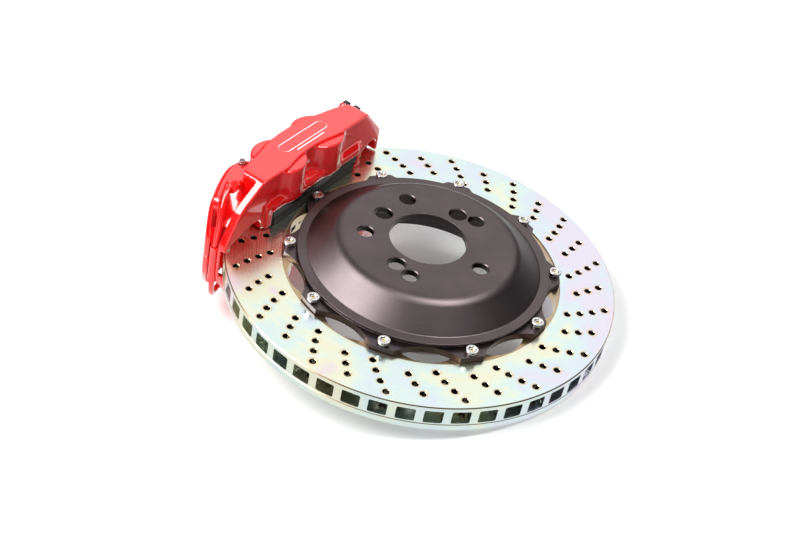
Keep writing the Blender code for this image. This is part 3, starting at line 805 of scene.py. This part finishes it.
# Piston bosses and bores
BOSS_S = 30.4
BOSS_RHO = 161.0
BOSS_RADIUS = 27.6
BOSS_TOP_WHEEL, BOSS_TOP_HUB = 57.0, 59.6
BORE_RADIUS, BORE_TOP = 19.8, 47.0
BOOT_RADIUS, BOOT_TOP = 23.8, 23.0

# Mounting lugs: (rho, z)
LUG_S = (-90.0, 85.0)
LUG_HALF = 9
LUG_PROFILE = ((118, 26), (118, 57.1), (138, 60.8), (148, 50), (148, 26))

# End arches, and the recesses that the pipe runs in: (s, z)
ARCHES = (
    ((-83.7, -5), (-84.2, 7), (-92, 14), (-101, 18.5), (-109, 19.5), (-114, 17), (-116, 11),
     (-116, -5)),
    ((73, -5), (76, 13), (82, 17), (90, 16), (121, 6), (121, -5)),
)
ARCH_OUTER = 186.0
RECESS_RHO = 150.0
SHALLOW_EDGE = ((79, 80), (79, 37), (95, 24), (108, 10), (117, 0), (117, -40))
DEEP_EDGE = ((111, 80), (111, 12), (117, 2), (117, -40))

# Fixings
BRIDGE_CIRCLE = 201.5
BRIDGE_S = (71.0, 87.0, -88.0, -106.0)
PIN_CIRCLE = 196.5
PIN_S = (48.0, -67.0)
BLEEDERS = ((-101.5, 176.5, 46.8), (-100.8, 163.5, 47.6))
BLEEDER_SLOPE = Vector((-0.76, 0.65)).normalized()

# The generic mark on the face: centre (s, rho), half length and radius
MARK_CENTRE = (-8.5, 162.5)
MARK_HALF = 35.0
MARK_RADIUS = 6.6
MARK_THICK = 0.13


def saddle(s, rho):
    """Signed distance to the region beyond the trimmed outside, between the pad pins."""
    low, high = SADDLE_S
    stations = [low + (high - low) * i / 12 for i in range(13)]
    arc = [(math.sqrt(SADDLE_RADIUS ** 2 - along ** 2), along) for along in stations]
    rise = [(out, along) for along, out in SADDLE_RISE]
    return below_line(rho, s, [(260, low - 5), *arc, *rise])


def casting(s, rho, z, r):
    """The casting before its details: sloped ends, round outer wall and flat face."""
    body = convex(s, z, BODY_PROFILE, 2.0)
    wall = convex(r, z, WALL_PROFILE, 2.0)
    outline = smooth_path([(a, b, 0) for a, b in FACE_EDGE], 4)
    beyond = below_line(rho, s, [(point.y, point.x) for point in outline])
    block = round_common(-beyond, span(z, 20.0, CALIPER_TOP), 1.8)
    wall = round_union(wall, block, 2.5)
    body = round_common(body, wall, 1.2)
    body = round_cut(body, np.maximum(saddle(s, rho), WINDOW_TOP - z), 2.5)
    body = round_common(body, INNER_RHO - rho, 1.2)
    return round_common(body, np.broadcast_to(INNER_RADIUS - r, body.shape), 1.2)


def with_bosses(body, s, rho, z, boss_top):
    """Adds the lip over the pads, the piston bosses and the window's end blocks."""
    lip = convex(rho, z, LIP_PROFILE, 1.2)
    lip = round_common(lip, span(s, *WINDOW), 0.5)
    body = round_union(body, lip, 7.0)
    for centre in (-BOSS_S, BOSS_S):
        boss = np.hypot(s - centre, rho - BOSS_RHO) - BOSS_RADIUS
        boss = round_common(boss, span(z, 17.0, boss_top), 1.8)
        body = round_union(body, boss, 3.0)
    for start, end in ((WINDOW[0] - 8, WINDOW[0] + 1), (WINDOW[1] - 1, WINDOW[1] + 9)):
        block = convex(rho, z, BLOCK_PROFILE, 1.0)
        block = round_common(block, span(s, start, end), 1.0)
        body = round_union(body, block, 2.0)
    return body


def with_lugs(body, s, rho, z):
    """Adds the mounting lugs of the hub side."""
    for middle in LUG_S:
        lug = convex(rho, z, LUG_PROFILE, 1.5)
        lug = round_common(lug, span(s, middle - LUG_HALF, middle + LUG_HALF), 1.5)
        body = round_union(body, lug, 2.0)
    return body


def with_bleeder_posts(body, s, rho, z):
    """Adds the short posts that the bleeders of the wheel side are screwed into."""
    for place in BLEEDERS:
        along = (s - place[0]) * BLEEDER_SLOPE[0] + (z - place[2]) * BLEEDER_SLOPE[1]
        side = (s - place[0]) * -BLEEDER_SLOPE[1] + (z - place[2]) * BLEEDER_SLOPE[0]
        post = round_common(np.hypot(side, rho - place[1]) - 6.0, span(along, -12, 0), 0.6)
        body = round_union(body, post, 1.2)
    return body


def with_openings(body, s, rho, z, r):
    """Cuts the pad window, the disc's slot, the end arches and the piston bores."""
    body = round_cut(body, np.maximum(span(s, *WINDOW), z - WINDOW_TOP), 1.0)
    body = round_cut(body, np.maximum(r - SLOT_RADIUS, z - SLOT_TOP), 0.8)
    for arch in ARCHES:
        hollow = np.maximum(convex(s, z, arch, 4.0), rho - ARCH_OUTER)
        body = round_cut(body, hollow, 1.0)
    for centre in (-BOSS_S, BOSS_S):
        bore = np.hypot(s - centre, rho - BOSS_RHO)
        body = round_cut(body, np.maximum(bore - BORE_RADIUS, z - BORE_TOP), 0.4)
        body = round_cut(body, np.maximum(bore - BOOT_RADIUS, z - BOOT_TOP), 0.4)
    return body


def with_pipe_recess(body, s, rho, z, r):
    """Cuts the shallow recess under the pipe, and the deeper one that its sleeve lies in."""
    shallow = round_common(below_line(s, z, SHALLOW_EDGE), RECESS_RHO - rho, 1.5)
    shallow = round_common(shallow, r - 199.0, 1.5)
    body = round_cut(body, shallow, 1.0)
    deep = np.maximum(below_line(s, z, DEEP_EDGE), RECESS_RHO - rho)
    return round_cut(body, round_common(deep, r - 204.0, 1.0), 1.0)


def with_holes(body, s, rho, z, hub_side):
    """Cuts the holes for the pad pins and cap screws, and the screws' seats."""
    for along in PIN_S:
        out = math.sqrt(PIN_CIRCLE ** 2 - along ** 2)
        hole = np.hypot(s - along, rho - out) - 3.3
        body = round_cut(body, np.maximum(hole, -z - 10.0), 0.5)
    for along in BRIDGE_S:
        out = math.sqrt(BRIDGE_CIRCLE ** 2 - along ** 2)
        hole = np.hypot(s - along, rho - out)
        if hub_side:
            body = round_cut(body, np.maximum(hole - 8.2, 30.0 - z), 0.6)
        body = round_cut(body, np.maximum(hole - 4.3, z - (32.0 if hub_side else 14.0)), 0.3)
    return body


def caliper_field(s, rho, z, hub_side):
    """Signed distance to one half of the caliper, on broadcast coordinate arrays."""
    r = np.hypot(s, rho)
    body = casting(s, rho, z, r)
    body = with_bosses(body, s, rho, z, BOSS_TOP_HUB if hub_side else BOSS_TOP_WHEEL)
    body = with_lugs(body, s, rho, z) if hub_side else with_bleeder_posts(body, s, rho, z)
    body = with_openings(body, s, rho, z, r)
    body = with_pipe_recess(body, s, rho, z, r)
    body = with_holes(body, s, rho, z, hub_side)
    return np.maximum(body, SPLIT - z)


def below_line(p, q, steps):
    """Signed distance to the side towards +p of an open outline, negative on that side."""
    distance = None
    inside = np.zeros(np.broadcast(p, q).shape, bool)
    for (a, b), (c, d) in zip(steps, steps[1:]):
        length = math.hypot(c - a, d - b)
        t = np.clip(((p - a) * (c - a) + (q - b) * (d - b)) / length ** 2, 0, 1)
        gap = np.hypot(p - a - t * (c - a), q - b - t * (d - b))
        distance = gap if distance is None else np.minimum(distance, gap)
        if b != d:
            edge = a + (q - b) * (c - a) / (d - b)
            inside |= (q <= max(b, d)) & (q > min(b, d)) & (p > edge)
    return np.where(inside, -distance, distance)


def caliper_half(name, hub_side, replaced):
    """One half as a surface of its distance field; the hub side is turned over."""
    origin = np.array(GRID_LOW)
    counts = [int(round(size / VOXEL)) for size in GRID_SIZE]
    axes = [origin[i] + VOXEL * np.arange(counts[i]) for i in range(3)]
    s = axes[0][:, None, None].astype(np.float32)
    rho = axes[1][None, :, None].astype(np.float32)
    z = axes[2][None, None, :].astype(np.float32)
    field = np.broadcast_to(caliper_field(s, rho, z, hub_side), counts).astype(np.float32)
    grid = openvdb.FloatGrid(GRID_BAND)
    grid.copyFromArray(np.ascontiguousarray(np.clip(field, -GRID_BAND, GRID_BAND)))
    points, quads = grid.convertToQuads(0.0)
    points = points * VOXEL + origin
    local = np.stack([-points[:, 1], -points[:, 0], points[:, 2]], axis=1)
    if hub_side:
        local[:, 2] = 2 * MIDDLE - local[:, 2]
    mesh = bpy.data.meshes.new("half")
    mesh.from_pydata(local.tolist(), [], quads.tolist())
    graph = bmesh.new()
    graph.from_mesh(mesh)
    bmesh.ops.recalc_face_normals(graph, faces=graph.faces)
    graph.to_mesh(mesh)
    graph.free()
    show(name, mesh, RED, "caliper", [replaced], 180, weigh=False)


# ---- pipe and fixings


def bevelled(mesh, width, segments=2, angle=35):
    """The mesh with its sharp edges rounded."""
    maker = linked("shape", mesh)
    step = maker.modifiers.new("edge", "BEVEL")
    step.width = width
    step.segments = segments
    step.limit_method = "ANGLE"
    step.angle_limit = math.radians(angle)
    step.use_clamp_overlap = True
    return baked(maker)


def spot(s, circle):
    """The point of a circle round the disc axis that lies at s along the caliper."""
    return at(s, math.sqrt(circle * circle - s * s))


def tube(points, radius, sides):
    """A closed round bar that follows the points without twisting."""
    graph = bmesh.new()
    rings = []
    side = None
    for i, point in enumerate(points):
        ahead = (points[min(i + 1, len(points) - 1)] - points[max(i - 1, 0)]).normalized()
        side = ahead.orthogonal() if side is None else side - ahead * side.dot(ahead)
        side.normalize()
        over = ahead.cross(side)
        ring = []
        for k in range(sides):
            turn = 2 * math.pi * k / sides
            out = side * math.cos(turn) + over * math.sin(turn)
            ring.append(graph.verts.new(point + out * radius))
        rings.append(ring)
    for a, b in zip(rings, rings[1:]):
        for k in range(sides):
            j = (k + 1) % sides
            graph.faces.new((a[k], a[j], b[j], b[k]))
    graph.faces.new(rings[0][::-1])
    graph.faces.new(rings[-1])
    return mesh_of(graph)


PIPE_RADIUS = 2.7
PIPE_PATH = (
    (92.0, 168.0, 46.0), (97.0, 168.0, 45.2), (104.0, 165.0, 40.5), (110.5, 161.8, 33.5),
    (116.5, 158.6, 24.0), (121.5, 156.2, 12.5), (124.0, 155.2, 5.0), (124.5, 155.0, 1.5),
    (124.5, 155.0, -41.5), (124.0, 155.3, -48.0), (121.0, 157.0, -58.0),
    (115.5, 160.0, -66.5), (108.0, 163.5, -72.0), (100.0, 166.8, -74.0), (92.0, 168.0, -74.0),
)


def pipe_and_unions():
    """The painted transfer pipe, its sleeve and the hexagon union at each end."""
    path = smooth_path([at(*point) for point in PIPE_PATH], 6)
    pipe = tube(path, PIPE_RADIUS, 28)
    show("fluid_pipe", pipe, RED, "caliper", ["transfer_pipe"], 50)
    sleeve = spun(
        48, 3,
        (3.1, 21, 0.3), (3.1, -21, 0.3), (4.6, -21, 0.7), (4.6, -19.2, 0.1), (4.35, -18.8, 0.1),
        (4.35, 18.8, 0.1), (4.6, 19.2, 0.1), (4.6, 21, 0.7),
    )
    place = Matrix.Translation(at(124.5, 155.0, -20.0))
    show("fluid_pipe_sleeve", sleeve, RED, "caliper", ["pipe_sleeve"], 32, place)
    for side, end in (("wheel", PIPE_PATH[0]), ("hub", PIPE_PATH[-1])):
        collar = spun(40, 3, (0, -12, 0), (4.4, -12, 0.4), (4.4, -6, 0.2), (0, -6, 0))
        nose = spun(40, 3, (0, 0.5, 0), (4.2, 0.5, 0), (4.2, 2.3, 0.6), (0, 2.3, 0))
        nut = joined(hexagon(9.7, -7.0, 1.5, 30), collar, nose)
        nut = cut(nut, cylinders(2.95, -1.5, 4.0, 28, [(0, 0)]))
        place = Matrix.Translation(at(*end)) @ Matrix.Rotation(math.radians(90), 4, "X")
        name = f"pipe_nut_{side}_side"
        show(f"union_nut_{side}_side", nut, RED, "caliper", [name], 32, place)


def bleeders():
    """Bleed screws, each under a rubber cap with a rolled edge."""
    for i, place in enumerate(BLEEDERS):
        slope = at(BLEEDER_SLOPE[0], 0, BLEEDER_SLOPE[1])
        turn = Matrix.Translation(at(*place)) @ slope.to_track_quat("Z", "Y").to_matrix().to_4x4()
        screw = spun(
            32, 3,
            (0, -10, 0), (1.4, -10, 0), (2.6, -8.2, 0.2), (2.6, 1.7, 0.2), (2.0, 2.6, 0.3),
            (0.8, 2.6, 0.1), (0.8, -4.0, 0), (0, -4.0, 0),
        )
        name = f"bleeder_screw_{i + 1}"
        show(f"bleed_nipple_{i + 1}", screw, BRIGHT, "caliper", [name], where=turn)
        cap = spun(
            40, 4,
            (2.9, 0.9, 0.2), (4.5, 0.9, 0.5), (4.6, 2.3, 0.5), (3.9, 2.7, 0.3), (3.6, 3.3, 0.3),
            (3.55, 4.5, 0.7), (0, 4.6, 0), (0, 2.9, 0), (2.9, 2.9, 0.2),
        )
        name = f"bleeder_cap_{i + 1}"
        show(f"bleed_cap_{i + 1}", cap, RUBBER, "caliper", [name], 50, turn)


def screws_and_pins():
    """Hexagon-socket cap screws through both halves, and the pins that the pads hang from."""
    head = spun(
        48, 3,
        (0, 12, 0), (3.4, 12, 0.2), (4.0, 11.2, 0.2), (4.0, -57.6, 0.3), (6.4, -58.3, 0.3),
        (6.5, -65.4, 0.7), (5.6, -66, 0.3), (0, -66, 0),
    )
    head = cut(head, prisms([ring_points(3.6, 6)], -68.0, -62.0))
    for i, s in enumerate(BRIDGE_S):
        name = f"bridge_bolt_{i + 1}"
        place = Matrix.Translation(spot(s, BRIDGE_CIRCLE))
        show(f"body_screw_{i + 1}", head.copy(), BLACK_STEEL, "caliper", [name], 32, place)
    pin = spun(
        40, 2,
        (0, 42.8, 0), (1.5, 42.8, 0.2), (1.9, 44, 0.2), (3.0, 44, 0.6), (3.0, 42.4, 0.1),
        (2.7, 42.2, 0.1), (2.7, 41.4, 0.1), (3.0, 41.2, 0.1), (3.0, -69.2, 0.1),
        (2.7, -69.4, 0.1), (2.7, -70.2, 0.1), (3.0, -70.4, 0.1), (3.0, -72, 0.6), (0, -72, 0),
    )
    for i, s in enumerate(PIN_S):
        name = f"pad_pin_{i + 1}"
        place = Matrix.Translation(spot(s, PIN_CIRCLE))
        show(f"hanger_pin_{i + 1}", pin.copy(), GREY, "caliper", [name], 32, place)


# ---- pads and pistons

FLIP = Matrix.Translation((0, 0, 2 * MIDDLE)) @ Matrix.Diagonal((1, 1, -1, 1))
PLATE_Z = (10.3, 16.8)
PLATE_OUTER = 188.0
LINING_Z = (0.5, 10.0)
LINING_OUTER = 186.5


def mirrored(mesh):
    """The mesh turned over to the hub side."""
    mesh.transform(FLIP)
    mesh.flip_normals()
    return mesh


def pad_outline(outer, inset):
    """Plan outline of a pad: a straight inner edge and an outer arc, inset at both ends."""
    start, end = WINDOW[0] + 0.6 + inset, WINDOW[1] - 0.6 - inset
    points = [at(end, 137.0), at(start, 137.0)]
    points.extend(spot(start + (end - start) * i / 40, outer) for i in range(41))
    return points


def pad_plate():
    """Backing plate with two ears that hang on the pins."""
    plate = prisms([pad_outline(PLATE_OUTER, 0.0)], *PLATE_Z)
    ears = []
    for s, room in zip(PIN_S, (8.0, 7.4)):
        middle = spot(s, PIN_CIRCLE)
        out = middle.normalized()
        side = Vector((-out.y, out.x, 0)) * room * 0.8
        tip = [middle + out * 6.0 + side * k for k in (-1, 1)]
        root = [middle - out * 12.0 + side * k for k in (1, -1)]
        ears.append(prisms([tip + root], *PLATE_Z))
    holes = cylinders(3.6, 8, 19, 40, [spot(s, PIN_CIRCLE)[:2] for s in PIN_S])
    return bevelled(cut(joined(plate, *ears), holes), 0.5)


def pad_lining():
    """Friction block with softened edges and a dust slot across the middle."""
    block = prisms([pad_outline(LINING_OUTER, 3.0)], *LINING_Z)
    slot = prisms([[at(-7.6, 120), at(-5.2, 120), at(-5.2, 200), at(-7.6, 200)]], 0.4, 7.5)
    return bevelled(cut(block, slot), 0.6)


def pads():
    for side in ("wheel", "hub"):
        plate, lining = pad_plate(), pad_lining()
        if side == "hub":
            plate, lining = mirrored(plate), mirrored(lining)
        body = f"pad_{side}_side"
        name = f"pad_plate_{side}_side"
        show(f"backing_plate_{side}_side", plate, PAD_BLACK, body, [name])
        name = f"pad_lining_{side}_side"
        show(f"friction_block_{side}_side", lining, LINING, body, [name])


def piston():
    """A piston, hollow towards its pad, with a groove for its boot."""
    return spun(
        96, 3,
        (0, 31.0, 0), (15.0, 31.0, 1.5), (15.5, 17.1, 0.5), (18.9, 17.1, 0.5), (19.5, 17.8, 0.4),
        (19.5, 21.0, 0.1), (19.1, 21.3, 0.1), (19.1, 22.7, 0.1), (19.5, 23.0, 0.1),
        (19.5, 41.2, 0.6), (18.6, 42.0, 0.3), (0, 42.0, 0),
    )


def boot():
    """A folded rubber boot seated in its counterbore."""
    return spun(
        96, 4,
        (19.8, 18.4, 0.4), (20.6, 18.4, 0.3), (21.0, 19.4, 0.3), (21.6, 19.4, 0.3),
        (22.0, 18.4, 0.3), (22.9, 18.4, 0.4), (23.5, 19.6, 0.4), (23.5, 22.7, 0.4),
        (19.8, 22.7, 0.3),
    )


def pistons():
    for side in ("wheel", "hub"):
        for i, s in enumerate((-BOSS_S, BOSS_S)):
            crown, fold = piston(), boot()
            where = Matrix.Translation(at(s, BOSS_RHO))
            if side == "hub":
                crown, fold = mirrored(crown), mirrored(fold)
            node = f"piston_{side}_side_{i + 1}"
            body = body_of_node[node]
            name = f"plunger_{side}_side_{i + 1}"
            show(name, crown, BRIGHT, body, [node], 32, where)
            node = f"dust_boot_{side}_side_{i + 1}"
            name = f"rubber_boot_{side}_side_{i + 1}"
            show(name, fold, RUBBER, "caliper", [node], 50, where)


def pad_spring():
    """The bent leaf over the pads, with three windows pierced in it."""
    under = (191.6, 191.4, 194.5, 199.0, 201.0, 199.0, 194.5, 191.4, 191.6)
    start, end = PIN_S[0] - 1.0, PIN_S[1] + 1.0
    knots = [(start + (end - start) * i / 8, radius, 0) for i, radius in enumerate(under)]
    line = smooth_path(knots, 8)
    lower = [spot(point.x, point.y) for point in line]
    upper = [spot(point.x, point.y + 0.9) for point in line]
    strip = prisms([lower + upper[::-1]], MIDDLE - 20, MIDDLE + 20)
    windows = []
    for middle in (-38.0, -6.4, 26.0):
        low, high = middle - 9.0, middle + 9.0
        outline = [at(low, 170), at(high, 170), at(high, 215), at(low, 215)]
        windows.append(prisms([outline], MIDDLE - 10, MIDDLE + 10))
    shape = bevelled(cut(strip, *windows), 0.22, 2, 40)
    show("leaf_spring", shape, GREY, "caliper", ["pad_spring"])


def face_mark():
    """A plain generic mark on the face: an outlined capsule and a short bar under it."""
    height = CALIPER_TOP - 0.03
    outer = prisms([capsule(MARK_CENTRE, MARK_HALF, MARK_RADIUS)], height, height + MARK_THICK)
    inner = prisms([capsule(MARK_CENTRE, MARK_HALF, MARK_RADIUS - 1.0)], height - 1, height + 1)
    under = (MARK_CENTRE[0], MARK_CENTRE[1] - MARK_RADIUS - 3.4)
    bar = prisms([capsule(under, MARK_HALF * 0.62, 0.7)], height, height + MARK_THICK)
    for i, mesh in enumerate((cut(outer, inner), bar)):
        show(f"face_mark_{i + 1}", mesh, WHITE, "caliper", ())


def capsule(centre, half, radius):
    """A plan outline with two straight sides and round ends, drawn along the caliper."""
    points = []
    for side in (1, -1):
        for k in range(17):
            turn = math.radians(-90 + 180 * k / 16)
            points.append(
                at(
                    centre[0] + side * (half - radius + radius * math.cos(turn)),
                    centre[1] + side * radius * math.sin(turn),
                )
            )
    return points


# ---- stage


# The camera's place and aim in millimetres, its roll in degrees and its lens
CAMERA_AT = (458.0, -942.7, 858.07)
CAMERA_AIM = (-13.75, -18.16, 0.0)
CAMERA_ROLL = 12.358
CAMERA_LENS = 63.21

# Area lights: name, place in metres, diameter and power
LIGHTS = (
    ("key", (-0.85, -1.05, 1.75), 1.6, 52),
    ("fill", (1.0, 0.2, 2.0), 1.0, 24),
    ("back_box", (-0.46, 1.61, 1.57), 2.6, 14),
    ("front_box", (0.5, -2.2, 0.5), 1.6, 8),
)
LIGHT_AIM = Vector((0, 0, 0.05))


def camera():
    """The photo's viewpoint, which is stated in the disc's own frame."""
    data = bpy.data.cameras.new("camera")
    data.lens = CAMERA_LENS
    data.sensor_width = 36.0
    data.clip_start = 0.05
    data.clip_end = 50
    made = linked("camera", data)
    place = Vector(CAMERA_AT)
    back = (place - Vector(CAMERA_AIM)).normalized()
    level = Vector((0, 0, 1)).cross(back).normalized()
    turn = Matrix((level, back.cross(level), back)).transposed().to_4x4()
    roll = Matrix.Rotation(math.radians(CAMERA_ROLL), 4, "Z")
    made.matrix_world = PLACE @ Matrix.Translation(place * MM) @ turn @ roll
    bpy.context.scene.camera = made


def floor():
    """A pale floor that looks brighter towards the back in reflections."""
    graph = bmesh.new()
    bmesh.ops.create_grid(graph, x_segments=1, y_segments=1, size=6.0)
    mesh = bpy.data.meshes.new("floor")
    graph.to_mesh(mesh)
    graph.free()
    made = linked("floor", mesh)
    paint = bpy.data.materials.new("floor")
    paint.use_nodes = True
    tree = paint.node_tree
    shader = tree.nodes["Principled BSDF"]
    shader.inputs["Base Color"].default_value = (0.93, 0.93, 0.93, 1)
    shader.inputs["Roughness"].default_value = 0.6
    shader.inputs["Emission Color"].default_value = (1, 1, 1, 1)
    shader.inputs["Emission Strength"].default_value = 0.12
    where = tree.nodes.new("ShaderNodeTexCoord")
    split = tree.nodes.new("ShaderNodeSeparateXYZ")
    tree.links.new(where.outputs["Object"], split.inputs[0])
    x, y, _ = (Sum(tree, out) for out in split.outputs)
    glow = tree.nodes.new("ShaderNodeEmission")
    tree.links.new((y - x * 0.5).ramp(-0.6, 0.6, 0.75, 1.1).socket, glow.inputs["Strength"])
    path = tree.nodes.new("ShaderNodeLightPath")
    both = tree.nodes.new("ShaderNodeMixShader")
    tree.links.new(path.outputs["Is Glossy Ray"], both.inputs[0])
    tree.links.new(shader.outputs[0], both.inputs[1])
    tree.links.new(glow.outputs[0], both.inputs[2])
    tree.links.new(both.outputs[0], tree.nodes["Material Output"].inputs["Surface"])
    mesh.materials.append(paint)


def area(name, where, size, power):
    """A round soft light that faces the object."""
    data = bpy.data.lights.new(name, "AREA")
    data.shape = "DISK"
    data.size = size
    data.energy = power
    made = linked(name, data)
    made.location = where
    aim = LIGHT_AIM - Vector(where)
    made.rotation_mode = "QUATERNION"
    made.rotation_quaternion = aim.to_track_quat("-Z", "Y")


def lights():
    """The studio sky, bright overhead and behind, and the area lights."""
    world = bpy.data.worlds.new("studio")
    bpy.context.scene.world = world
    world.use_nodes = True
    tree = world.node_tree
    background = tree.nodes["Background"]
    direction = tree.nodes.new("ShaderNodeTexCoord")
    split = tree.nodes.new("ShaderNodeSeparateXYZ")
    tree.links.new(direction.outputs["Generated"], split.inputs[0])
    x, y, z = (Sum(tree, out) for out in split.outputs)
    overhead = z.ramp(0.15, 0.6, 0.40, 2.6)
    behind = (y * 0.83 - x * 0.55).ramp(0.1, 0.75, 0.0, 2.3)
    tree.links.new(overhead.math("MAXIMUM", behind).socket, background.inputs["Strength"])
    for light in LIGHTS:
        area(*light)
    bpy.context.scene.view_settings.view_transform = "Standard"


# ---- build

disc_ring()
hat()
fasteners()
caliper_half("caliper_body_wheel_side", False, "caliper_half_wheel_side")
caliper_half("caliper_body_hub_side", True, "caliper_half_hub_side")
face_mark()
pipe_and_unions()
bleeders()
screws_and_pins()
pads()
pistons()
pad_spring()
camera()
floor()
lights()
